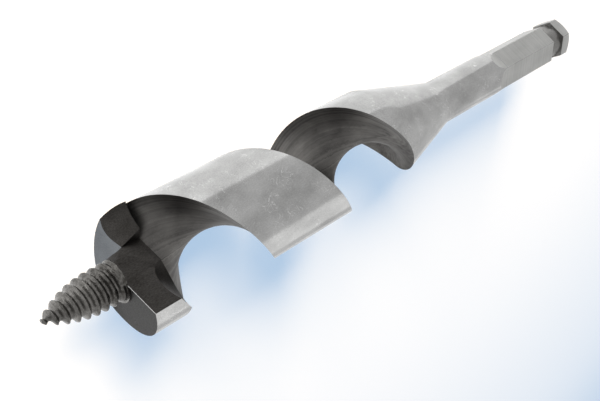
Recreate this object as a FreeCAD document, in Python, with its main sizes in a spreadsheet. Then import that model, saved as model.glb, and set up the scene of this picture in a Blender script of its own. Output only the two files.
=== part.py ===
import FreeCAD, Part
import math
import os
import Sketcher
from FreeCAD import Placement, Rotation, Vector

# A ship auger bit: one forged and milled steel bar with a lead screw, one cutting lip,
# a single deep spiral flute, a cone, a round shank and a hexagon for a quick-change chuck.
#
# The tool stands along its own Z while it is made: the tip of the lead screw is at z = 0
# and the end of the shank is at the overall length. The cutting edge runs along -X and
# its face looks along +Y. Angles are counted from X towards Y, so an edge that turns
# that way as it climbs is right-handed. The last placement lays the bit down with its
# axis along X, its tip towards -X and the centre of the shank's end at the origin.

doc = FreeCAD.newDocument("ShipAugerBit")

# Driving dimensions, in millimetres and degrees
SIZES = [
    ("overall_length", 190.5),
    ("cutting_diameter", 28.575),
    ("twist_diameter", 27.56),
    ("shank_diameter", 12.7),
    # lead screw
    ("screw_length", 18.2),
    ("screw_diameter", 9.8),
    ("screw_nose_length", 13.5),
    ("screw_point_diameter", 1.3),
    ("thread_pitch", 2.15),
    ("thread_depth", 0.85),
    ("thread_crest_width", 0.31),
    ("thread_root_width", 0.6),
    ("thread_start", 0.4),
    ("thread_fade_length", 2.2),
    # cutting head
    ("lip_length", 10.2),
    ("lip_back_bevel", 0.5),
    ("edge_above_centre", 2.77),
    ("lip_relief_angle", 7.6),
    ("root_diameter", 10.8),
    ("heel_setback", 4.6),
    ("heel_offset", 4.2),
    ("rake_floor_reach", 5.0),
    ("heel_relief_angle", 11.3),
    ("heel_turn", 12.5),
    # spiral flute: a ball cutter's path, and the smaller cutter's pass through the head
    ("flute_pitch", 54.4),
    ("flute_cutter_radius", 11.5),
    ("flute_centre_radius", 11.3),
    ("throat_cutter_radius", 9.42),
    ("throat_centre_radius", 13.07),
    ("flute_phase", 51.8),
    ("throat_phase", 50.0),
    ("flute_lead_in", 60.0),
    ("slow_feed_length", 8.2),
    ("slow_feed_share", 0.5),
    ("slow_feed_turn", 85.0),
    ("slow_feed_blend", 30.0),
    # twist, cone, hexagon and lock groove
    ("twist_length", 82.3),
    ("cone_length", 27.5),
    ("hex_across_flats", 11.11),
    ("hex_length", 34.5),
    ("hex_turn", 45.5),
    ("hex_cutter_radius", 12.0),
    ("groove_diameter", 10.2),
    ("groove_width", 5.4),
    ("collar_length", 4.6),
    ("end_chamfer", 1.4),
    ("end_face_diameter", 9.0),
    # how it lies: turn about its own axis from the cutting edge level with the floor
    ("lying_turn", -88.0),
]

sheet = doc.addObject("Spreadsheet::Sheet", "Sizes")
for row, (name, value) in enumerate(SIZES, start=1):
    sheet.set("A%d" % row, name)
    sheet.set("B%d" % row, str(value))
    sheet.setAlias("B%d" % row, name)
doc.recompute()

# Stations along the axis and radii, as expressions over the sheet
LIP_Z = "Sizes.screw_length"
HEAD_END_Z = "(Sizes.screw_length + Sizes.lip_length)"
CONE_Z = "(Sizes.screw_length + Sizes.twist_length)"
CONE_END_Z = "(Sizes.screw_length + Sizes.twist_length + Sizes.cone_length)"
END_Z = "Sizes.overall_length"
COLLAR_Z = "(Sizes.overall_length - Sizes.collar_length)"
GROOVE_Z = "(Sizes.overall_length - Sizes.collar_length - Sizes.groove_width)"
HEX_Z = "(Sizes.overall_length - Sizes.hex_length)"
LIP_R = "(Sizes.cutting_diameter / 2)"
TWIST_R = "(Sizes.twist_diameter / 2)"
SHANK_R = "(Sizes.shank_diameter / 2)"
FLAT_R = "(Sizes.hex_across_flats / 2)"
SCREW_R = "(Sizes.screw_diameter / 2)"


def value(text):
    """The present value of an expression over the sheet."""
    return float(sheet.evalExpression(text))


def bind(obj, bindings):
    """Tie properties of an object to expressions."""
    for path, text in bindings.items():
        obj.setExpression(path, text)


def origin_plane(body, role):
    """One of a body's own origin planes or axes."""
    return [f for f in body.Origin.OriginFeatures if f.Role == role][0]


def sketch_on(body, role, name):
    """A sketch on one of the body's own origin planes."""
    sketch = body.newObject("Sketcher::SketchObject", name)
    sketch.AttachmentSupport = [(origin_plane(body, role), "")]
    sketch.MapMode = "FlatFace"
    return sketch


def closed_outline(sketch, corners, arcs=None):
    """Draw a closed outline whose corners are (x, y) expressions.

    arcs maps the number of a corner to the (x, y) expressions of the centre of the arc
    that leaves it, and to whether that arc runs counter-clockwise.
    """
    arcs = arcs or {}
    points = [Vector(value(x), value(y), 0) for x, y in corners]
    ends = []
    for i, start in enumerate(points):
        stop = points[(i + 1) % len(points)]
        if i not in arcs:
            sketch.addGeometry(Part.LineSegment(start, stop), False)
            ends.append((1, 2))
            continue
        x_text, y_text, ccw = arcs[i]
        centre = Vector(value(x_text), value(y_text), 0)
        first, last = (start, stop) if ccw else (stop, start)
        angles = [math.atan2(p.y - centre.y, p.x - centre.x) for p in (first, last)]
        circle = Part.Circle(centre, Vector(0, 0, 1), (start - centre).Length)
        sketch.addGeometry(Part.ArcOfCircle(circle, angles[0], angles[1]), False)
        ends.append((1, 2) if ccw else (2, 1))
    for i in range(len(points)):
        after = (i + 1) % len(points)
        sketch.addConstraint(
            Sketcher.Constraint("Coincident", i, ends[i][1], after, ends[after][0]))
    held = [(i, ends[i][0], "DistanceX", x) for i, (x, _) in enumerate(corners)]
    held += [(i, ends[i][0], "DistanceY", y) for i, (_, y) in enumerate(corners)]
    held += [(i, 3, "DistanceY", arc[1]) for i, arc in arcs.items()]
    for geo, pos, kind, text in held:
        index = sketch.addConstraint(
            Sketcher.Constraint(kind, -1, 1, geo, pos, value(text)))
        sketch.setExpression("Constraints[%d]" % index, text)


def revolve(body, outline, name):
    """Turn an outline round the tool's axis."""
    turned = body.newObject("PartDesign::Revolution", name)
    turned.Profile = outline
    turned.ReferenceAxis = (outline, ["V_Axis"])
    turned.Angle = 360.0
    return turned


# The turned bar: lip disc, twist, cone, shank, lock groove and end collar
bar = doc.addObject("PartDesign::Body", "TurnedBar")
bar_outline = sketch_on(bar, "XZ_Plane", "BarOutline")
closed_outline(bar_outline, [
    ("0", LIP_Z),
    (LIP_R, LIP_Z),
    (LIP_R, HEAD_END_Z),
    (TWIST_R, HEAD_END_Z + " + Sizes.lip_back_bevel"),
    (TWIST_R, CONE_Z),
    (SHANK_R, CONE_END_Z),
    (SHANK_R, GROOVE_Z),
    ("Sizes.groove_diameter / 2", GROOVE_Z),
    ("Sizes.groove_diameter / 2", COLLAR_Z),
    (SHANK_R, COLLAR_Z),
    (SHANK_R, END_Z + " - Sizes.end_chamfer"),
    ("Sizes.end_face_diameter / 2", END_Z),
    ("0", END_Z),
])
revolve(bar, bar_outline, "Turned")
doc.recompute()

# Six flats along the shank's end, each cut by a round cutter that lifts out where the
# flat begins and leaves a curved scallop there
CLEAR_R = "(Sizes.shank_diameter / 2 + 1)"
RISE = "(" + CLEAR_R + " - " + FLAT_R + ")"
LIFT_OUT = "sqrt((2 * Sizes.hex_cutter_radius - " + RISE + ") * " + RISE + ")"
flat_outline = sketch_on(bar, "XZ_Plane", "FlatOutline")
closed_outline(flat_outline, [
    (FLAT_R, HEX_Z),
    (FLAT_R, END_Z + " + 1"),
    (CLEAR_R, END_Z + " + 1"),
    (CLEAR_R, HEX_Z + " - " + LIFT_OUT),
], {3: (FLAT_R + " + Sizes.hex_cutter_radius", HEX_Z, False)})
flat = bar.newObject("PartDesign::Pocket", "Flat")
flat.Profile = flat_outline
flat.Midplane = True
bind(flat, {"Length": "Sizes.shank_diameter"})
flats = bar.newObject("PartDesign::PolarPattern", "SixFlats")
flats.Originals = [flat]
flats.Axis = (origin_plane(bar, "Z_Axis"), [""])
flats.Angle = 360.0
flats.Occurrences = 6
bar.Tip = flats
doc.recompute()
bind(bar, {"Placement.Rotation.Angle": "Sizes.hex_turn"})
doc.recompute()

# The blank of the head: the lip's relief and the lower heel are milled back from the
# front, and a round root for the lead screw is left standing between them
REACH = "(Sizes.cutting_diameter + 2)"
RELIEF_DEPTH = "(Sizes.lip_length)"
EDGE_Y = "Sizes.edge_above_centre"


def block(name, sizes, origin, turn, corner):
    """A box whose corner stands off an origin point, in axes turned from the tool's."""
    box = doc.addObject("Part::Box", name)
    bind(box, dict(zip(("Length", "Width", "Height"), sizes)))
    box.Placement = Placement(
        origin + turn.multVec(Vector(*[value(c) for c in corner])), turn)
    return box


lip_relief = block(
    "LipRelief", ("Sizes.cutting_diameter", REACH, RELIEF_DEPTH),
    Vector(0, value(EDGE_Y), value(LIP_Z)),
    Rotation(Vector(1, 0, 0), -value("Sizes.lip_relief_angle")),
    ("Sizes.heel_offset - Sizes.cutting_diameter", "-" + REACH + " * 0.75", "-" + RELIEF_DEPTH))
heel_relief = block(
    "HeelRelief", ("Sizes.cutting_diameter", REACH, RELIEF_DEPTH),
    Vector(0, 0, value(LIP_Z + " + Sizes.heel_setback")),
    Rotation(Vector(0, 0, 1), -value("Sizes.heel_turn"))
    * Rotation(Vector(1, 0, 0), value("Sizes.heel_relief_angle")),
    ("Sizes.heel_offset", "-" + REACH + " / 2", "-" + RELIEF_DEPTH))
root_post = doc.addObject("Part::Cylinder", "RootPost")
root_post.Placement = Placement(Vector(0, 0, value(LIP_Z)), Rotation())
bind(root_post, {"Radius": "Sizes.root_diameter / 2", "Height": RELIEF_DEPTH})


def cut(name, base, tool):
    """One shape less another."""
    made = doc.addObject("Part::Cut", name)
    made.Base = base
    made.Tool = tool
    return made


def gathered(kind, name, shapes):
    """Several shapes fused into one, or what they have in common."""
    made = doc.addObject(kind, name)
    made.Shapes = shapes
    return made


# The lead screw: a pointed blank turned on the axis, and a groove cut round it that
# sinks in behind the point and leaves the thread standing
screw_blank = doc.addObject("PartDesign::Body", "ScrewBlank")
screw_outline = sketch_on(screw_blank, "XZ_Plane", "ScrewOutline")
POINT_R = "(Sizes.screw_point_diameter / 2)"
NOSE_Z = "Sizes.screw_nose_length"
GROWTH = "(" + SCREW_R + " - " + POINT_R + ")"
NOSE_ARC = "((" + NOSE_Z + " ^ 2 + " + GROWTH + " ^ 2) / (2 * " + GROWTH + "))"
ROOTED_Z = "(" + LIP_Z + " + Sizes.thread_pitch / 2)"
NOSE_CONES = 4


def nose_corner(part):
    """A corner between two of the nose's cones; all of them lie on one arc."""
    height = "%s * %d / %d" % (NOSE_Z, part, NOSE_CONES)
    below = "(%s - %s)" % (NOSE_Z, height)
    radius = "%s - %s + sqrt(%s ^ 2 - %s ^ 2)" % (SCREW_R, NOSE_ARC, NOSE_ARC, below)
    return radius, height


closed_outline(screw_outline, [
    ("0", "0"),
    (POINT_R, "0"),
    *[nose_corner(part) for part in range(1, NOSE_CONES)],
    (SCREW_R, NOSE_Z),
    (SCREW_R, ROOTED_Z),
    ("0", ROOTED_Z),
])
revolve(screw_blank, screw_outline, "Pointed")
doc.recompute()

PITCH = value("Sizes.thread_pitch")
DEPTH = value("Sizes.thread_depth")
HALF_ROOT = value("Sizes.thread_root_width / 2")
HALF_TOP = (PITCH - value("Sizes.thread_crest_width")) / 2
FLANK = (HALF_TOP - HALF_ROOT) / DEPTH
CLEAR = DEPTH / 7
START_Z = value("Sizes.thread_start")
STOP_Z = value(ROOTED_Z) + PITCH / 2
POINTS_PER_TURN = 8


def groove_edge(height, at_top, side):
    """A point of one of the four edges of the thread groove."""
    below = max(value_nose - height, 0.0)
    radius = value_screw - value_arc + math.sqrt(value_arc * value_arc - below * below)
    sunk = min((height - START_Z) / value_fade, 1.0)
    radius += CLEAR if at_top else CLEAR / 2 * (1.0 - sunk) - DEPTH * sunk
    half = HALF_TOP + FLANK * CLEAR if at_top else HALF_ROOT
    angle = 2 * math.pi * (height - START_Z) / PITCH
    return Vector(radius * math.cos(angle), radius * math.sin(angle), height + side * half)


def ruled(first, second):
    """The face ruled between two curves that share their knots."""
    surface = Part.BSplineSurface()
    surface.buildFromPolesMultsKnots(
        [first.getPoles(), second.getPoles()], [2, 2], first.getMultiplicities(),
        [0.0, 1.0], first.getKnots(), False, False, 1, first.Degree)
    return surface.toShape()


value_nose = value(NOSE_Z)
value_arc = value(NOSE_ARC)
value_screw = value(SCREW_R)
value_fade = value("Sizes.thread_fade_length")
SECTION = [(False, -1), (True, -1), (True, 1), (False, 1)]
turns = int(math.ceil((STOP_Z - START_Z) / PITCH))
count = turns * POINTS_PER_TURN
heights = [START_Z + (STOP_Z - START_Z) * i / count for i in range(count + 1)]
curves = []
for at_top, side in SECTION:
    curve = Part.BSplineCurve()
    curve.interpolate(
        Points=[groove_edge(z, at_top, side) for z in heights], Parameters=heights)
    curves.append(curve)
faces = []
for turn in range(turns):
    lengths = []
    for curve in curves:
        length = curve.copy()
        length.segment(heights[turn * POINTS_PER_TURN], heights[(turn + 1) * POINTS_PER_TURN])
        lengths.append(length)
    faces += [ruled(length, lengths[(i + 1) % len(lengths)])
              for i, length in enumerate(lengths)]
for z in (heights[0], heights[-1]):
    corners = [groove_edge(z, at_top, side) for at_top, side in SECTION]
    faces.append(Part.Face(Part.makePolygon(corners + corners[:1])))
groove_shell = Part.Shell(faces)
groove_shell.sewShape()
thread_groove = doc.addObject("Part::Feature", "ThreadGroove")
thread_groove.Shape = Part.Solid(groove_shell)
screw_zone = block(
    "ScrewZone", (REACH, REACH, "(Sizes.screw_length + Sizes.thread_pitch)"),
    Vector(0, 0, -PITCH), Rotation(), ("-" + REACH + " / 2", "-" + REACH + " / 2", "0"))
groove_to_lip = gathered("Part::MultiCommon", "GrooveToLip", [thread_groove, screw_zone])

head_relief = gathered("Part::MultiFuse", "HeadRelief", [lip_relief, heel_relief])
relieved = cut("RelievedBar", bar, head_relief)
blank = gathered("Part::MultiFuse", "Blank", [relieved, root_post, screw_blank])
doc.recompute()

# The throat of the head: the flat face under the cutting edge, and the pass of a round
# cutter that climbs from it through the heel with the lead of the flute
rake_floor = block(
    "RakeFloor", (REACH + " / 2 + Sizes.rake_floor_reach", REACH, "Sizes.lip_length"),
    Vector(0, value(EDGE_Y), value(LIP_Z)), Rotation(), ("-" + REACH + " / 2", "0", "0"))
MM_PER_DEGREE = "(Sizes.flute_pitch / 360)"
PASS_START_Z = "(" + LIP_Z + " - Sizes.throat_cutter_radius)"
PASS_HEIGHT = "(Sizes.lip_length + 2 * Sizes.throat_cutter_radius)"


def start_of_pass(phase, start_z, centre_radius):
    """Where a helical pass begins, and the plane square to its direction there."""
    angle = value(phase + " - (" + LIP_Z + " - " + start_z + ") / " + MM_PER_DEGREE)
    lead = math.degrees(math.atan2(value("Sizes.flute_pitch"), 2 * math.pi * centre_radius))
    foot = Placement(Vector(0, 0, value(start_z)), Rotation(Vector(0, 0, 1), angle))
    square = Placement(
        Vector(centre_radius, 0, 0), Rotation(Vector(1, 0, 0), 90 + lead))
    return foot, foot * square


def swept(name, section, spine):
    """A solid swept by a section along the one edge of a spine."""
    sweep = doc.addObject("Part::Sweep", name)
    sweep.Sections = [section]
    sweep.Spine = (spine, ["Edge1"])
    sweep.Solid = True
    sweep.Frenet = True
    return sweep


throat_foot, throat_square = start_of_pass(
    "Sizes.throat_phase", PASS_START_Z, value("Sizes.throat_centre_radius"))
throat_path = doc.addObject("Part::Helix", "ThroatPath")
throat_path.SegmentLength = 0
throat_path.Placement = throat_foot
bind(throat_path, {
    "Radius": "Sizes.throat_centre_radius", "Pitch": "Sizes.flute_pitch", "Height": PASS_HEIGHT})
throat_cutter = doc.addObject("Part::Circle", "ThroatCutter")
throat_cutter.Placement = throat_square
bind(throat_cutter, {"Radius": "Sizes.throat_cutter_radius"})
doc.recompute()
throat_pass = swept("ThroatPass", throat_cutter, throat_path)
head_zone = block(
    "HeadZone", (REACH, REACH, "Sizes.lip_length + Sizes.screw_length"),
    Vector(0, 0, 0), Rotation(), ("-" + REACH + " / 2", "-" + REACH + " / 2", "0"))
throat_in_head = gathered("Part::MultiCommon", "ThroatInHead", [throat_pass, head_zone])
throat = gathered("Part::MultiFuse", "Throat", [throat_in_head, rake_floor])
doc.recompute()

# The spiral flute: a ball cutter climbs at the flute's lead, slows down before the cone,
# turns on at the slower feed and is drawn out, which leaves a round end
START_TURN = value("Sizes.flute_phase - Sizes.flute_lead_in")
SLOW_TURN = value(
    "Sizes.flute_phase + (Sizes.twist_length - Sizes.slow_feed_length) / " + MM_PER_DEGREE)
END_TURN = SLOW_TURN + value("Sizes.slow_feed_turn")
STEP_DEGREES = 22.5


def flute_centre(turn):
    """The centre of the flute's ball cutter when it has turned this far, in degrees."""
    feed = value(MM_PER_DEGREE)
    lost = 1.0 - value("Sizes.slow_feed_share")
    blend = value("Sizes.slow_feed_blend")
    into = min(max(turn - SLOW_TURN + blend / 2, 0.0), blend)
    slowed = into * into / (2 * blend) + max(turn - SLOW_TURN - blend / 2, 0.0)
    height = value(LIP_Z) + feed * (turn - value("Sizes.flute_phase") - lost * slowed)
    radius = value("Sizes.flute_centre_radius")
    angle = math.radians(turn)
    return Vector(radius * math.cos(angle), radius * math.sin(angle), height)


steps = int(math.ceil((END_TURN - START_TURN) / STEP_DEGREES))
stations = [END_TURN - STEP_DEGREES * i for i in range(steps, -1, -1)]
flute_curve = Part.BSplineCurve()
flute_curve.interpolate([flute_centre(turn) for turn in stations])
flute_path = doc.addObject("Part::Feature", "FlutePath")
flute_path.Shape = Part.Wire(flute_curve.toShape())


def square_to(curve, parameter):
    """The plane square to a curve at one of its points, its X away from the tool's axis."""
    (along,) = curve.tangent(parameter)
    centre = curve.value(parameter)
    outward = Vector(centre.x, centre.y, 0)
    return Placement(centre, Rotation(outward, Vector(), along, "ZXY"))


# The cutter's round is drawn as two arcs, so that the wall it cuts has no seam in the bar
CUTTER_R = "Sizes.flute_cutter_radius"
OUTER_ARC = math.radians(60)
flute_cutter = doc.addObject("Sketcher::SketchObject", "FluteCutter")
flute_cutter.Placement = square_to(flute_curve, flute_curve.FirstParameter)
cutter_round = Part.Circle(Vector(0, 0, 0), Vector(0, 0, 1), value(CUTTER_R))
flute_cutter.addGeometry(
    Part.ArcOfCircle(cutter_round, OUTER_ARC, 2 * math.pi - OUTER_ARC), False)
flute_cutter.addGeometry(Part.ArcOfCircle(cutter_round, -OUTER_ARC, OUTER_ARC), False)
flute_cutter.addConstraint(Sketcher.Constraint("Coincident", 0, 2, 1, 1))
flute_cutter.addConstraint(Sketcher.Constraint("Coincident", 0, 1, 1, 2))
flute_cutter.addConstraint(Sketcher.Constraint("Coincident", 0, 3, -1, 1))
flute_cutter.addConstraint(Sketcher.Constraint("DistanceX", -1, 1, 1, 3, 0.0))
for end in (1, 2):
    index = flute_cutter.addConstraint(Sketcher.Constraint(
        "DistanceX", -1, 1, 0, end, value(CUTTER_R) * math.cos(OUTER_ARC)))
    flute_cutter.setExpression("Constraints[%d]" % index, CUTTER_R + " * cos(60 deg)")
index = flute_cutter.addConstraint(Sketcher.Constraint("Radius", 0, value(CUTTER_R)))
flute_cutter.setExpression("Constraints[%d]" % index, CUTTER_R)
doc.recompute()
flute_pass = swept("FlutePass", flute_cutter, flute_path)
flute_end = doc.addObject("Part::Sphere", "FluteEnd")
flute_end.Angle1 = 0
flute_end.Placement = square_to(flute_curve, flute_curve.LastParameter)
bind(flute_end, {"Radius": "Sizes.flute_cutter_radius"})
flute_run = gathered("Part::MultiFuse", "FluteRun", [flute_pass, flute_end])
flute = cut("Flute", flute_run, head_zone)
doc.recompute()
milled = cut("MilledThroat", blank, throat)
fluted = cut("MilledFlute", milled, flute)
threaded = cut("Threaded", fluted, groove_to_lip)

# The finished bit, laid down as it rests
bit = doc.addObject("Part::Refine", "AugerBit")
bit.Source = threaded
bit.Label = "auger_bit"
bit.Placement = Placement(
    Vector(-value(END_Z), 0, 0),
    Rotation(Vector(1, 0, 0), value("Sizes.lying_turn")) * Rotation(Vector(1, 1, 1), 120))
doc.recompute()

LEAST_CUT = 1.0
for obj in doc.Objects:
    if "Invalid" in obj.State or "Error" in obj.State:
        raise RuntimeError("%s did not recompute" % obj.Name)
for obj in (bar, blank, fluted, threaded, bit):
    if obj.Shape.isNull() or not obj.Shape.isValid():
        raise RuntimeError("%s is not a valid shape" % obj.Name)
for less, more in ((flats, flat), (relieved, bar), (milled, blank),
                   (fluted, milled), (threaded, fluted)):
    if not less.Shape.Volume < more.Shape.Volume - LEAST_CUT:
        raise RuntimeError("%s cut nothing away" % less.Name)
if len(bit.Shape.Solids) != 1:
    raise RuntimeError("the bit is not one solid")

os.makedirs("parts", exist_ok=True)
bit.Shape.exportStep("parts/auger_bit.step")
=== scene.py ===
"""Looks of a ship auger bit: ground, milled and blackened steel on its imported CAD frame.

Lengths are in millimetres and angles in degrees, except where a docstring says metres.
"""
from __future__ import annotations

import logging
import math
from dataclasses import dataclass, field
from enum import Enum

import bmesh
import bpy
from mathutils import Matrix, Vector

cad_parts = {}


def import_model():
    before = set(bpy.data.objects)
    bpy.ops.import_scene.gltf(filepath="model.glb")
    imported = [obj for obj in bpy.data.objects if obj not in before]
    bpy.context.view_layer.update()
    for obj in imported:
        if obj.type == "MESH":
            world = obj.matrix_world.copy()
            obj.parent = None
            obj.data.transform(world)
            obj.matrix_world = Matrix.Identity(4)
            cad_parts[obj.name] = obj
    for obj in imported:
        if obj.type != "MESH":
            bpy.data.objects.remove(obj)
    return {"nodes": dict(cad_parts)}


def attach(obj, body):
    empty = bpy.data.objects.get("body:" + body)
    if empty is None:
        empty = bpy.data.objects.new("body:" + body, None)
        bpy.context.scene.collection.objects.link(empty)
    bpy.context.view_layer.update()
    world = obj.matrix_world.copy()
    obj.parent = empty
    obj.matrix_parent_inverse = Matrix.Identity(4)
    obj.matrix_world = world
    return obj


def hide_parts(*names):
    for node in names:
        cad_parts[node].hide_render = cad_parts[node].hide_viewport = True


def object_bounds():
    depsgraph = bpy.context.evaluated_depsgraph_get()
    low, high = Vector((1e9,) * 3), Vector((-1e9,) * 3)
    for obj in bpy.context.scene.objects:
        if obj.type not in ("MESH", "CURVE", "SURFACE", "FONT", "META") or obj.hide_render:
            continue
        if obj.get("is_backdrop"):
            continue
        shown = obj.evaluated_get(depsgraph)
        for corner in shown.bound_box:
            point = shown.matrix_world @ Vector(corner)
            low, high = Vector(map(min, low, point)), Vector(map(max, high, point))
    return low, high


LOG = logging.getLogger("auger_bit")
MM = 0.001
NODE = "auger_bit"
BODY = "root"

# Sizes that the bit and its screw share.
OVERALL = 190.5
SCREW_LENGTH = 18.2
# How far the bit is rolled about its axis as it lies at rest.
LYING_TURN = -88.0

SRGB_TOE = 0.04045
SRGB_SLOPE = 12.92
SRGB_OFFSET = 0.055
SRGB_POWER = 2.4


class Zone(Enum):
    """The stretches of the bit's surface that were finished in different ways; the lip's front
    zone holds painted shade.
    """

    GROUND = 0
    FLUTE = 1
    THROAT = 2
    RELIEF = 3
    SCREW = 4
    GROOVE = 5
    HEXAGON = 6
    LIP = 7


def linear(hex_colour: str) -> tuple[float, float, float, float]:
    """Turn an sRGB hex colour into linear values.

    Args:
        hex_colour: six hex digits, such as "a0a09a".

    Returns:
        Linear red, green and blue, and an alpha of one.
    """
    values = [int(hex_colour[i:i + 2], 16) / 255 for i in (0, 2, 4)]
    lit = [v / SRGB_SLOPE if v <= SRGB_TOE
           else ((v + SRGB_OFFSET) / (1 + SRGB_OFFSET)) ** SRGB_POWER for v in values]
    return (lit[0], lit[1], lit[2], 1.0)


def add_node(tree: bpy.types.NodeTree, kind: str,
             inputs: dict[str | int, object] | None = None,
             **settings: object) -> bpy.types.Node:
    """Add a node with its settings, values and links.

    Args:
        tree: the node tree that gets it.
        kind: the node's type name.
        inputs: socket name or number to a value, to the socket that feeds it, or to a node
            that feeds it from its first output.
        settings: the node's own properties.

    Returns:
        The new node.
    """
    node = tree.nodes.new(kind)
    for name, setting in settings.items():
        setattr(node, name, setting)
    for key, given in (inputs or {}).items():
        feed = given.outputs[0] if isinstance(given, bpy.types.Node) else given
        if isinstance(feed, bpy.types.NodeSocket):
            tree.links.new(feed, node.inputs[key])
        else:
            node.inputs[key].default_value = feed
    return node


def seen_directly(tree: bpy.types.NodeTree, path: bpy.types.Node) -> bpy.types.Node:
    """Tell what the camera sees, by itself or through glass, from what is only mirrored.

    Args:
        tree: the node tree that gets the node.
        path: its Light Path node.

    Returns:
        A node that gives one for a direct look, and nought otherwise.
    """
    return add_node(tree, "ShaderNodeMath",
                    {0: path.outputs["Is Camera Ray"], 1: path.outputs["Is Transmission Ray"]},
                    operation="MAXIMUM")


@dataclass(frozen=True)
class BarPattern:
    """Coordinates that follow a bar along X."""

    tree: bpy.types.NodeTree

    def place(self) -> bpy.types.Node:
        """Return a node that gives the point on the piece."""
        coordinate = add_node(self.tree, "ShaderNodeTexCoord")
        return add_node(self.tree, "ShaderNodeVectorMath",
                        {0: coordinate.outputs["Object"], "Scale": 1 / MM}, operation="SCALE")

    def stretched(self, along: float, across: float) -> bpy.types.Node:
        """Measure the place in one grain along the bar and in another across it.

        Args:
            along: the pattern's grain along the bar.
            across: its grain round the bar.

        Returns:
            A node whose vector gives a pattern of scale one those grains.
        """
        return add_node(self.tree, "ShaderNodeMapping",
                        {"Vector": self.place(), "Scale": (1 / along, 1 / across, 1 / across)})

    def helical(self, pitch: float, grain: float, radial_grain: float) -> bpy.types.Node:
        """Make a place that stays the same along a right-hand helix.

        Args:
            pitch: the helix's pitch.
            grain: the pattern's grain across the helix.
            radial_grain: its grain away from the axis.

        Returns:
            A node whose vector has no seam round the bar.
        """
        tree = self.tree
        xyz = add_node(tree, "ShaderNodeSeparateXYZ", {"Vector": self.place()})
        angle = add_node(tree, "ShaderNodeMath", {0: xyz.outputs["Y"], 1: xyz.outputs["Z"]},
                         operation="ARCTAN2")
        turn = add_node(tree, "ShaderNodeMath", {0: xyz.outputs["X"], 1: 2 * math.pi / pitch},
                        operation="MULTIPLY")
        phase = add_node(tree, "ShaderNodeMath", {0: turn, 1: angle}, operation="ADD")
        reach = pitch / (2 * math.pi * grain)
        waves = [add_node(tree, "ShaderNodeMath", {0: phase}, operation=wave)
                 for wave in ("COSINE", "SINE")]
        east, north = [add_node(tree, "ShaderNodeMath", {0: wave, 1: reach},
                                operation="MULTIPLY") for wave in waves]
        squares = [add_node(tree, "ShaderNodeMath", {0: xyz.outputs[axis], 1: 2.0},
                            operation="POWER") for axis in ("Y", "Z")]
        square = add_node(tree, "ShaderNodeMath", dict(enumerate(squares)), operation="ADD")
        radius = add_node(tree, "ShaderNodeMath", {0: square}, operation="SQRT")
        layer = add_node(tree, "ShaderNodeMath", {0: radius, 1: radial_grain},
                         operation="DIVIDE")
        return add_node(tree, "ShaderNodeCombineXYZ", {"X": east, "Y": north, "Z": layer})


@dataclass(frozen=True)
class Steel:
    """A bare steel surface: two tones, a gloss range, and marks that catch the light.

    The grains along and across the bar are those of its marks. Real marks are often finer
    than 0.1 mm, and are drawn coarser here so that they show at the part's usual size.
    """

    name: str
    dark: str
    light: str
    smooth: float
    rough: float
    bump: float
    along: float
    across: float
    dark_at: float = 0.36
    light_at: float = 0.64
    detail: float = 5.0
    raggedness: float = 0.62
    patch_along: float = 9.0
    patch_across: float = 6.0
    patch_detail: float = 2.0
    patch_share: float = 0.45
    faint_mark: float = 0.3
    strong_mark: float = 0.7
    mark_height: float = 0.05

    def marks(self, pattern: BarPattern) -> bpy.types.Node:
        """Return a node that gives the marks' strength, from nought to one."""
        return add_node(pattern.tree, "ShaderNodeTexNoise",
                        {"Vector": pattern.stretched(self.along, self.across), "Scale": 1.0,
                         "Detail": self.detail, "Roughness": self.raggedness})

    def patches(self, pattern: BarPattern) -> bpy.types.Node:
        """Return a node that gives slow differences of tone, such as handling leaves."""
        return add_node(pattern.tree, "ShaderNodeTexNoise",
                        {"Vector": pattern.stretched(self.patch_along, self.patch_across),
                         "Scale": 1.0, "Detail": self.patch_detail})

    def make(self) -> bpy.types.Material:
        """Build the material.

        Returns:
            A material whose colour, gloss and height follow the marks.
        """
        material = bpy.data.materials.new(self.name)
        material.use_nodes = True
        tree = material.node_tree
        pattern = BarPattern(tree)
        marks = self.marks(pattern)
        marked = add_node(tree, "ShaderNodeMath", {0: marks, 1: 1 - self.patch_share},
                          operation="MULTIPLY")
        mixed = add_node(tree, "ShaderNodeMath",
                         {0: self.patches(pattern), 1: self.patch_share, 2: marked},
                         operation="MULTIPLY_ADD")
        tone = add_node(tree, "ShaderNodeValToRGB", {"Fac": mixed})
        dark, light = tone.color_ramp.elements
        dark.position, dark.color = self.dark_at, linear(self.dark)
        light.position, light.color = self.light_at, linear(self.light)
        gloss = add_node(tree, "ShaderNodeMapRange",
                         {"Value": marks, "From Min": self.faint_mark,
                          "From Max": self.strong_mark, "To Min": self.rough,
                          "To Max": self.smooth})
        height = add_node(tree, "ShaderNodeBump",
                          {"Strength": self.bump, "Distance": self.mark_height * MM,
                           "Height": marks})
        shader = tree.nodes["Principled BSDF"]
        shader.inputs["Metallic"].default_value = 1.0
        tree.links.new(tone.outputs["Color"], shader.inputs["Base Color"])
        tree.links.new(gloss.outputs["Result"], shader.inputs["Roughness"])
        tree.links.new(height.outputs["Normal"], shader.inputs["Normal"])
        return material


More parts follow.
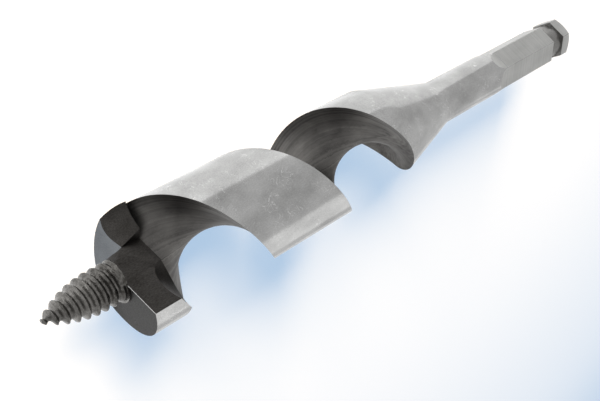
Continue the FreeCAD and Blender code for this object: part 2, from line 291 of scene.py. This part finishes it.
@dataclass(frozen=True)
class GroundSteel(Steel):
    """Steel ground round the bar: bright, satin, with fine curly scratches."""

    light_at: float = 0.86
    detail: float = 4.0
    raggedness: float = 0.6
    grain_share: float = 0.5
    scratch_grain: float = 3.4
    scratch_detail: float = 1.0
    scratch_curl: float = 3.0
    scratch_width: float = 0.022
    scratch_height: float = 0.6
    spread_grain: float = 4.5
    spread_detail: float = 2.0
    spread_from: float = 0.5
    spread_full: float = 0.66

    def scratches(self, pattern: BarPattern) -> bpy.types.Node:
        """Draw thin curls where a distorted noise crosses its middle.

        Args:
            pattern: the bar's coordinates.

        Returns:
            A node that gives the scratches' strength, and nought beside them.
        """
        tree = pattern.tree
        curls = add_node(tree, "ShaderNodeTexNoise",
                         {"Vector": pattern.stretched(self.scratch_grain, self.scratch_grain),
                          "Scale": 1.0, "Detail": self.scratch_detail,
                          "Distortion": self.scratch_curl})
        offset = add_node(tree, "ShaderNodeMath", {0: curls, 1: 0.5}, operation="SUBTRACT")
        distance = add_node(tree, "ShaderNodeMath", {0: offset}, operation="ABSOLUTE")
        return add_node(tree, "ShaderNodeMapRange",
                        {"Value": distance, "From Min": 0.0, "From Max": self.scratch_width,
                         "To Min": self.scratch_height, "To Max": 0.0})

    def marks(self, pattern: BarPattern) -> bpy.types.Node:
        """Lay scattered scratches over the grinding's grain.

        Args:
            pattern: the bar's coordinates.

        Returns:
            A node that gives the marks' strength.
        """
        tree = pattern.tree
        grain = super().marks(pattern)
        spread = add_node(tree, "ShaderNodeTexNoise",
                          {"Vector": pattern.stretched(self.spread_grain, self.spread_grain),
                           "Scale": 1.0, "Detail": self.spread_detail})
        here = add_node(tree, "ShaderNodeMapRange",
                        {"Value": spread, "From Min": self.spread_from,
                         "From Max": self.spread_full})
        calm = add_node(tree, "ShaderNodeMath",
                        {0: grain, 1: self.grain_share, 2: (1 - self.grain_share) / 2},
                        operation="MULTIPLY_ADD")
        return add_node(tree, "ShaderNodeMath",
                        {0: self.scratches(pattern), 1: here, 2: calm},
                        operation="MULTIPLY_ADD")


@dataclass(frozen=True)
class MilledFluteSteel(Steel):
    """Steel milled along a helix: dark, with streaks that follow the cutter's path."""

    pitch: float = 54.4
    detail: float = 4.0
    raggedness: float = 0.6

    def marks(self, pattern: BarPattern) -> bpy.types.Node:
        """Return a node that gives streaks along the cutter's path."""
        return add_node(pattern.tree, "ShaderNodeTexNoise",
                        {"Vector": pattern.helical(self.pitch, self.across, self.along),
                         "Scale": 1.0, "Detail": self.detail, "Roughness": self.raggedness})


@dataclass(frozen=True)
class MilledFlatSteel(Steel):
    """Steel milled across the bar: pale, with uneven bands square to the axis."""

    detail: float = 2.0
    raggedness: float = 0.5
    band_share: float = 0.7
    grain: float = 0.25
    grain_detail: float = 3.0

    def marks(self, pattern: BarPattern) -> bpy.types.Node:
        """Lay a fine grain over the cutter's uneven bands.

        Args:
            pattern: the bar's coordinates.

        Returns:
            A node that gives the marks' strength, from nought to one.
        """
        tree = pattern.tree
        grain = add_node(tree, "ShaderNodeTexNoise",
                         {"Vector": pattern.stretched(self.grain, self.grain), "Scale": 1.0,
                          "Detail": self.grain_detail})
        fine = add_node(tree, "ShaderNodeMath", {0: grain, 1: 1 - self.band_share},
                        operation="MULTIPLY")
        return add_node(tree, "ShaderNodeMath",
                        {0: super().marks(pattern), 1: self.band_share, 2: fine},
                        operation="MULTIPLY_ADD")


FINISHES: dict[Zone, Steel] = {
    # Ground round the bar on a belt: pale satin with a fine grain and curly scratches.
    Zone.GROUND: GroundSteel(
        "ground_bar_steel", dark="9e9e9d", light="e2e2e1", smooth=0.12, rough=0.24,
        bump=0.1, along=0.5, across=0.25),
    # A ball cutter and the heat of hardening: dark, with streaks along its path.
    Zone.FLUTE: MilledFluteSteel(
        "milled_flute_steel", dark="4c4a49", light="7c7a77", smooth=0.36, rough=0.50,
        bump=0.3, along=1.5, across=0.22),
    # An end mill, then hardening: nearly black, dull, with a short grain.
    Zone.THROAT: Steel(
        "milled_throat_steel", dark="2f2d2b", light="474543", smooth=0.38, rough=0.54,
        bump=0.25, along=0.6, across=0.25),
    # Backed off on a stone after hardening: cool grey, with the scale ground away.
    Zone.RELIEF: Steel(
        "ground_relief_steel", dark="5e6266", light="74787c", smooth=0.34, rough=0.48,
        bump=0.2, along=0.4, across=0.2),
    # Turned and hardened: dark, and glossy enough for its crests to catch the light.
    Zone.SCREW: Steel(
        "turned_screw_steel", dark="464441", light="8c8a87", smooth=0.20, rough=0.34,
        bump=0.3, along=0.4, across=0.8),
    # Turned with a narrow tool and left as it is: darker rings round the bar.
    Zone.GROOVE: Steel(
        "turned_groove_steel", dark="7a7977", light="9c9b99", smooth=0.28, rough=0.42,
        bump=0.2, along=0.15, across=1.0),
    # Milled square to the bar: pale, with uneven bands where the cutter passed.
    Zone.HEXAGON: MilledFlatSteel(
        "milled_hexagon_steel", dark="acacaa", light="c2c2c0", smooth=0.28, rough=0.42,
        bump=0.2, along=0.7, across=40.0),
    # The lip's front: the throat's milled, blackened steel with painted shade, for the face
    # toward the tip.
    Zone.LIP: Steel(
        "lip_steel_painted_shade", dark="1a1918", light="262524", smooth=0.38, rough=0.54,
        bump=0.25, along=0.6, across=0.25),
}


@dataclass
class LeadScrew:
    """The pointed screw ahead of the lip, with a rounded thread that runs to its tip.

    It stands in for the solid's own screw, whose thread is a plain groove that starts
    behind the point.
    """

    overall: float = OVERALL
    lying_turn: float = LYING_TURN
    length: float = SCREW_LENGTH
    # How far it reaches into the head.
    rooted: float = 0.4
    radius: float = 4.9
    nose: float = 13.5
    point: float = 0.65
    pitch: float = 2.15
    depth: float = 0.95
    deepest_share: float = 0.6
    fade: float = 1.8
    first_valley: float = 0.4
    crest_power: float = 1.3
    steps_per_turn: int = 44
    steps_per_pitch: int = 14
    merge: float = 0.001

    def envelope(self, place: float) -> float:
        """Return the radius of the thread's crests, which swell along an arc.

        Args:
            place: a distance from the tip.

        Returns:
            The radius there.
        """
        growth = self.radius - self.point
        arc = (self.nose ** 2 + growth ** 2) / (2 * growth)
        below = max(self.nose - place, 0.0)
        return self.radius - arc + math.sqrt(arc ** 2 - below ** 2)

    def rise(self, share: float) -> float:
        """Return the thread's height, from nought in the valley to one on the crest.

        Args:
            share: how far round the profile the point is; whole numbers are valleys.

        Returns:
            The height as a share of the thread's depth.
        """
        return ((1 - math.cos(2 * math.pi * share)) / 2) ** self.crest_power

    def point_at(self, place: float, turns: float, share: float) -> Vector:
        """Place one point of the screw's surface.

        Args:
            place: its distance from the tip.
            turns: its turn round the axis.
            share: how far round the thread's profile it is.

        Returns:
            The point in metres.
        """
        reach = self.envelope(place)
        deepest = min(self.depth, self.deepest_share * reach)
        left = min((self.length - place) / self.fade, 1.0)
        sunk = deepest * (1 - self.rise(share)) * max(left, 0.0)
        angle = 2 * math.pi * turns + math.radians(self.lying_turn)
        across = (reach - sunk) * Vector((0.0, math.cos(angle), math.sin(angle)))
        return (across + Vector((place - self.overall, 0.0, 0.0))) * MM

    def row(self, turns: float, end: float) -> list[Vector]:
        """Return one crossing of the strip, from a valley to the next.

        Args:
            turns: its turn round the axis.
            end: how far from the tip the screw reaches.

        Returns:
            The points in metres, kept between the tip and the end.
        """
        points = []
        for part in range(self.steps_per_pitch + 1):
            share = part / self.steps_per_pitch
            place = self.first_valley + self.pitch * (turns + share)
            inside = min(max(place, 0.0), end)
            points.append(self.point_at(inside, turns, share + (inside - place) / self.pitch))
        return points

    def wind(self, bm: bmesh.types.BMesh) -> None:
        """Wind a helical strip whose edges meet from turn to turn.

        Args:
            bm: the mesh that gets it.
        """
        end = self.length + self.rooted
        first = -math.ceil(self.first_valley / self.pitch) - 1
        last = math.ceil((end - self.first_valley) / self.pitch)
        steps = (last - first) * self.steps_per_turn
        rows = [[bm.verts.new(point)
                 for point in self.row(first + step / self.steps_per_turn, end)]
                for step in range(steps + 1)]
        for near, far in zip(rows, rows[1:]):
            for part in range(self.steps_per_pitch):
                bm.faces.new((near[part], near[part + 1], far[part + 1], far[part]))

    def build(self, finish: Steel) -> bpy.types.Object:
        """Make the screw and close its two ends.

        Args:
            finish: the steel it gets.

        Returns:
            The finished screw.
        """
        mesh = bpy.data.meshes.new("lead_screw")
        bm = bmesh.new()
        self.wind(bm)
        bmesh.ops.remove_doubles(bm, verts=bm.verts, dist=self.merge * MM)
        bmesh.ops.dissolve_degenerate(bm, edges=bm.edges, dist=self.merge * MM)
        rims = [edge for edge in bm.edges if edge.is_boundary]
        ends = bmesh.ops.holes_fill(bm, edges=rims, sides=0)["faces"]
        bmesh.ops.recalc_face_normals(bm, faces=bm.faces)
        for face in bm.faces:
            face.smooth = face not in ends
        bm.to_mesh(mesh)
        bm.free()
        mesh.materials.append(finish.make())
        piece = bpy.data.objects.new("lead_screw", mesh)
        bpy.context.scene.collection.objects.link(piece)
        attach(piece, BODY)
        LOG.info("%s: %d faces", piece.name, len(mesh.polygons))
        return piece


@dataclass
class AugerBit:
    """The one-piece bit: its solid's surface, smoothed and dressed stretch by stretch."""

    overall: float = OVERALL
    lying_turn: float = LYING_TURN
    screw_length: float = SCREW_LENGTH
    lip_radius: float = 28.575 / 2
    twist_radius: float = 27.56 / 2
    shank_radius: float = 12.7 / 2
    flat_radius: float = 11.11 / 2
    lip_length: float = 10.2
    back_bevel: float = 0.5
    collar_radius: float = 5.45
    collar_length: float = 1.0
    twist_length: float = 82.3
    cone_length: float = 27.5
    groove_width: float = 5.4
    end_collar_width: float = 4.6
    # The hexagon runs out in curved ends, and none lies closer to the groove than this.
    runout_gap: float = 10.0
    heel_start: float = 21.0
    heel_offset: float = 4.0
    honed: float = 0.1
    # A face looks along an axis when this much of its normal lies on it.
    facing: float = 0.9
    # Tolerances by which a face is told to lie on a form of the solid.
    skin_gap: float = 0.09
    end_gap: float = 0.05
    root_gap: float = 0.02
    level: float = 0.02
    merge: float = 0.002
    crease: float = 24.0
    finishes: dict[Zone, Steel] = field(default_factory=lambda: dict(FINISHES))

    @property
    def lip_end(self) -> float:
        """Return where the lip's full width ends."""
        return self.screw_length + self.lip_length

    @property
    def cone_start(self) -> float:
        """Return where the cone begins."""
        return self.screw_length + self.twist_length

    @property
    def cone_end(self) -> float:
        """Return where the cone has come down to the shank."""
        return self.cone_start + self.cone_length

    @property
    def groove_end(self) -> float:
        """Return where the lock groove ends."""
        return self.overall - self.end_collar_width

    @property
    def groove_start(self) -> float:
        """Return where the lock groove begins."""
        return self.groove_end - self.groove_width

    def skin(self, place: float) -> float:
        """Follow the outline that the bar was turned to.

        Args:
            place: a distance from the screw's tip.

        Returns:
            The bar's outer radius there.
        """
        stations = ((0.0, self.lip_radius), (self.lip_end, self.lip_radius),
                    (self.lip_end + self.back_bevel, self.twist_radius),
                    (self.cone_start, self.twist_radius),
                    (self.cone_end, self.shank_radius), (self.overall, self.shank_radius))
        for (near, wide), (far, narrow) in zip(stations, stations[1:]):
            if place <= far:
                return wide + (narrow - wide) * (place - near) / (far - near)
        return self.shank_radius

    def on_skin(self, point: Vector) -> bool:
        """Return whether a point lies on the turned outside."""
        radius = math.hypot(point.y, point.z)
        return abs(radius - self.skin(point.x + self.overall)) < self.skin_gap

    def threaded(self, face: bmesh.types.BMFace) -> bool:
        """Return whether a face belongs to the solid's own lead screw."""
        place = face.calc_center_median().x / MM + self.overall
        return place < self.screw_length - self.root_gap

    def collared(self, face: bmesh.types.BMFace) -> bool:
        """Say whether a face belongs to the low collar round the screw's root.

        Args:
            face: a face of the bit.

        Returns:
            True on the collar, and false on the lip's front beside it.
        """
        centre = face.calc_center_median() / MM
        beside = math.hypot(centre.y, centre.z) < self.collar_radius
        ahead = centre.x + self.overall < self.screw_length + self.collar_length
        return beside and ahead and face.normal.y < self.facing

    def in_groove(self, centre: Vector) -> bool:
        """Say whether a face lies in the lock groove.

        Args:
            centre: the face's centre.

        Returns:
            True on the groove's floor and walls.
        """
        near = self.groove_start - self.end_gap
        far = self.groove_end + self.end_gap
        sunk = math.hypot(centre.y, centre.z) < self.shank_radius - self.skin_gap
        return near < centre.x + self.overall < far and sunk

    def on_hexagon(self, centre: Vector, normal: Vector) -> bool:
        """Say whether a face of the shank was milled.

        Args:
            centre: the face's centre.
            normal: its normal.

        Returns:
            True on a flat and on its curved end.
        """
        gap = abs(abs(normal.dot(centre)) - self.flat_radius)
        flat = abs(normal.x) < self.level and gap < self.skin_gap
        before = centre.x + self.overall < self.groove_start - self.runout_gap
        return flat or (self.level < abs(normal.x) < self.facing and before)

    def zone(self, face: bmesh.types.BMFace) -> Zone:
        """Say how the stretch that a face belongs to was finished, or that it gets painted
        shade.

        Args:
            face: a face of the bit, in metres.

        Returns:
            The zone of the face.
        """
        centre = face.calc_center_median() / MM
        place = centre.x + self.overall
        if self.threaded(face) or self.collared(face):
            return Zone.SCREW
        if self.in_groove(centre):
            return Zone.GROOVE
        if place > self.cone_end:
            return Zone.HEXAGON if self.on_hexagon(centre, face.normal) else Zone.GROUND
        if all(self.on_skin(vert.co / MM) for vert in face.verts):
            return Zone.GROUND
        if place >= self.lip_end + self.end_gap:
            return Zone.FLUTE
        if face.normal.x > -self.facing:
            return Zone.THROAT
        turn = math.radians(self.lying_turn)
        sideways = centre.y * math.cos(turn) + centre.z * math.sin(turn)
        backed = sideways > self.heel_offset and place > self.heel_start
        # The lip's front faces the tip and gets painted shade: a darker copy of the throat's
        # steel.
        return Zone.RELIEF if backed else Zone.LIP

    def unscrew(self, bm: bmesh.types.BMesh) -> None:
        """Take the solid's own lead screw off, and close the bit where it stood.

        Args:
            bm: the bit's mesh.
        """
        screw = [face for face in bm.faces if self.threaded(face)]
        bmesh.ops.delete(bm, geom=screw, context="FACES")
        # A face that hangs on by one edge would be closed twice.
        teeth = [face for face in bm.faces
                 if sum(edge.is_boundary for edge in face.edges) > 1]
        bmesh.ops.delete(bm, geom=teeth, context="FACES")
        rim = [edge for edge in bm.edges if edge.is_boundary]
        bmesh.ops.holes_fill(bm, edges=rim, sides=0)

    def hone(self, bm: bmesh.types.BMesh) -> None:
        """Break the cutting edge with a narrow bright flat.

        Args:
            bm: the bit's mesh, with its zones given.
        """
        edges = []
        for edge in bm.edges:
            zones = {face.material_index for face in edge.link_faces}
            rakes = any(face.normal.y > self.facing for face in edge.link_faces)
            if zones == {Zone.LIP.value, Zone.THROAT.value} and rakes:
                edges.append(edge)
        LOG.info("cutting edge: %d edges honed", len(edges))
        bmesh.ops.bevel(bm, geom=edges, offset=self.honed * MM, offset_type="OFFSET",
                        segments=1, profile=0.5, affect="EDGES", clamp_overlap=True,
                        material=Zone.GROUND.value)

    def shade(self, bm: bmesh.types.BMesh) -> None:
        """Shade the mesh smooth, but for its creases and the borders of its zones.

        Args:
            bm: the bit's mesh, with its zones given.
        """
        limit = math.radians(self.crease)
        for edge in bm.edges:
            faces = edge.link_faces
            apart = len(faces) == 2 and faces[0].material_index != faces[1].material_index
            edge.smooth = edge.calc_face_angle(0.0) < limit and not apart

    def build(self, node: bpy.types.Object) -> bpy.types.Object:
        """Make the dressed bit from the solid's mesh.

        Args:
            node: the CAD node that the piece stands for.

        Returns:
            The finished piece.
        """
        mesh = bpy.data.meshes.new("dressed_bit")
        bm = bmesh.new()
        bm.from_mesh(node.data)
        bmesh.ops.remove_doubles(bm, verts=bm.verts, dist=self.merge * MM)
        self.unscrew(bm)
        for face in bm.faces:
            face.smooth = True
            face.material_index = self.zone(face).value
        self.hone(bm)
        self.shade(bm)
        bm.to_mesh(mesh)
        bm.free()
        for zone in Zone:
            mesh.materials.append(self.finishes[zone].make())
        piece = bpy.data.objects.new("dressed_bit", mesh)
        bpy.context.scene.collection.objects.link(piece)
        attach(piece, BODY)
        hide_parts(NODE)
        LOG.info("%s: %d faces", piece.name, len(mesh.polygons))
        return piece


@dataclass(frozen=True)
class Lamp:
    """A plain soft box, placed from the middle of the bit."""

    name: str
    place: tuple[float, float, float]
    size: float
    watts: float
    # Whether the steel mirrors it.
    mirrored: bool = True

    def build(self, aim: Vector) -> bpy.types.Object:
        """Hang the lamp and turn it to the bit.

        Args:
            aim: the point it looks at, in metres.

        Returns:
            The lamp.
        """
        light = bpy.data.lights.new(self.name, "AREA")
        light.energy = self.watts
        light.size = self.size * MM
        lamp = bpy.data.objects.new(self.name, light)
        lamp.location = aim + Vector(self.place) * MM
        lamp.rotation_euler = (aim - lamp.location).to_track_quat("-Z", "Y").to_euler()
        lamp.visible_glossy = self.mirrored
        bpy.context.scene.collection.objects.link(lamp)
        LOG.info("%s: %g W", self.name, self.watts)
        return lamp


@dataclass
class Studio:
    """The pale floor, the lamps, the bright surroundings and the camera."""

    sheet_width: float = 3000.0
    sheet_depth: float = 2000.0
    # How far the floor reaches past the middle of the bit on its far side.
    sheet_edge: float = 70.0
    sheet_gap: float = 0.02
    # The camera sees white where the key lamp falls, and pale blue in its shadow.
    lit_share: str = "d9bc90"
    steady_share: str = "97bbdd"
    # The steel sees the same floor without the blue.
    mirrored_sheet: str = "c4c4c4"
    mirrored_glow: str = "a8a8a8"
    room_colour: str = "ffffff"
    room_mirrored: float = 0.70
    room_light: float = 0.16
    eye: tuple[float, float, float] = (-251.41, 150.93, 109.38)
    look: tuple[float, float, float] = (0.5778, -0.6731, -0.4615)
    upward: tuple[float, float, float] = (0.4066, 0.7277, -0.5524)
    lens: float = 55.33
    sensor: float = 36.0
    lamps: tuple[Lamp, ...] = (
        Lamp("key", (-400.0, 1090.0, 270.0), size=560.0, watts=76.0, mirrored=False),
        Lamp("fill", (380.0, -480.0, 420.0), size=500.0, watts=0.34),
    )

    def world(self) -> None:
        """Light the room evenly, show it white and mirror it a little darker."""
        world = bpy.data.worlds.new("room")
        bpy.context.scene.world = world
        world.use_nodes = True
        tree = world.node_tree
        background = tree.nodes["Background"]
        background.inputs["Color"].default_value = linear(self.room_colour)
        path = add_node(tree, "ShaderNodeLightPath")
        mirrored = add_node(tree, "ShaderNodeMath",
                            {0: path.outputs["Is Glossy Ray"],
                             1: self.room_mirrored - self.room_light, 2: self.room_light},
                            operation="MULTIPLY_ADD")
        level = add_node(tree, "ShaderNodeMath", {0: seen_directly(tree, path), 1: mirrored},
                         operation="MAXIMUM")
        tree.links.new(level.outputs[0], background.inputs["Strength"])

    def paper(self) -> bpy.types.Material:
        """Build the floor's pale paper.

        Returns:
            A dull material that is white in the key lamp's light and pale blue out of it.
        """
        material = bpy.data.materials.new("pale_paper")
        material.use_nodes = True
        tree = material.node_tree
        tree.nodes.clear()
        path = add_node(tree, "ShaderNodeLightPath")
        lit = add_node(tree, "ShaderNodeBsdfDiffuse", {"Color": linear(self.lit_share)})
        steady = add_node(tree, "ShaderNodeEmission", {"Color": linear(self.steady_share)})
        shown = add_node(tree, "ShaderNodeAddShader", {0: lit, 1: steady})
        plain = add_node(tree, "ShaderNodeBsdfDiffuse", {"Color": linear(self.mirrored_sheet)})
        glow = add_node(tree, "ShaderNodeEmission",
                        {"Color": linear(self.mirrored_glow),
                         "Strength": path.outputs["Is Glossy Ray"]})
        mirrored = add_node(tree, "ShaderNodeAddShader", {0: plain, 1: glow})
        mixed = add_node(tree, "ShaderNodeMixShader",
                         {0: seen_directly(tree, path), 1: mirrored, 2: shown})
        add_node(tree, "ShaderNodeOutputMaterial", {"Surface": mixed})
        return material

    def floor(self, height: float, middle: Vector) -> bpy.types.Object:
        """Lay the floor under the bit.

        Args:
            height: the lowest point of the bit, in metres.
            middle: the middle of the bit, in metres.

        Returns:
            The floor, marked as staging.
        """
        width, depth = self.sheet_width * MM, self.sheet_depth * MM
        place = Vector((middle.x, middle.y + self.sheet_edge * MM - depth / 2,
                        height - self.sheet_gap * MM))
        mesh = bpy.data.meshes.new("floor")
        bm = bmesh.new()
        bmesh.ops.create_grid(bm, x_segments=1, y_segments=1, size=0.5,
                              matrix=Matrix.LocRotScale(place, None, (width, depth, 1.0)))
        bm.to_mesh(mesh)
        bm.free()
        mesh.materials.append(self.paper())
        floor = bpy.data.objects.new("floor", mesh)
        bpy.context.scene.collection.objects.link(floor)
        floor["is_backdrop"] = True
        LOG.info("floor at %.2f mm", height / MM)
        return floor

    def camera(self) -> bpy.types.Object:
        """Set the camera where the photograph was taken from.

        Returns:
            The scene's camera.
        """
        lens = bpy.data.cameras.new("camera")
        lens.lens = self.lens
        lens.sensor_width = self.sensor
        camera = bpy.data.objects.new("camera", lens)
        back = -Vector(self.look).normalized()
        up = Vector(self.upward)
        up = (up - back * up.dot(back)).normalized()
        right = up.cross(back)
        turn = Matrix((right, up, back)).transposed().to_4x4()
        camera.matrix_world = Matrix.Translation(Vector(self.eye) * MM) @ turn
        bpy.context.scene.collection.objects.link(camera)
        bpy.context.scene.camera = camera
        return camera


def main() -> None:
    """Build the dressed bit and its studio."""
    logging.basicConfig(level=logging.INFO, format="%(name)s %(message)s")
    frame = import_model()
    cad_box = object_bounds()
    AugerBit().build(frame["nodes"][NODE])
    LeadScrew().build(FINISHES[Zone.SCREW])
    low, high = cad_box
    middle = (low + high) / 2
    studio = Studio()
    studio.world()
    studio.floor(low.z, middle)
    for lamp in studio.lamps:
        lamp.build(middle)
    studio.camera()
    bpy.context.scene.view_settings.view_transform = "Standard"


if __name__ == "__main__":
    main()
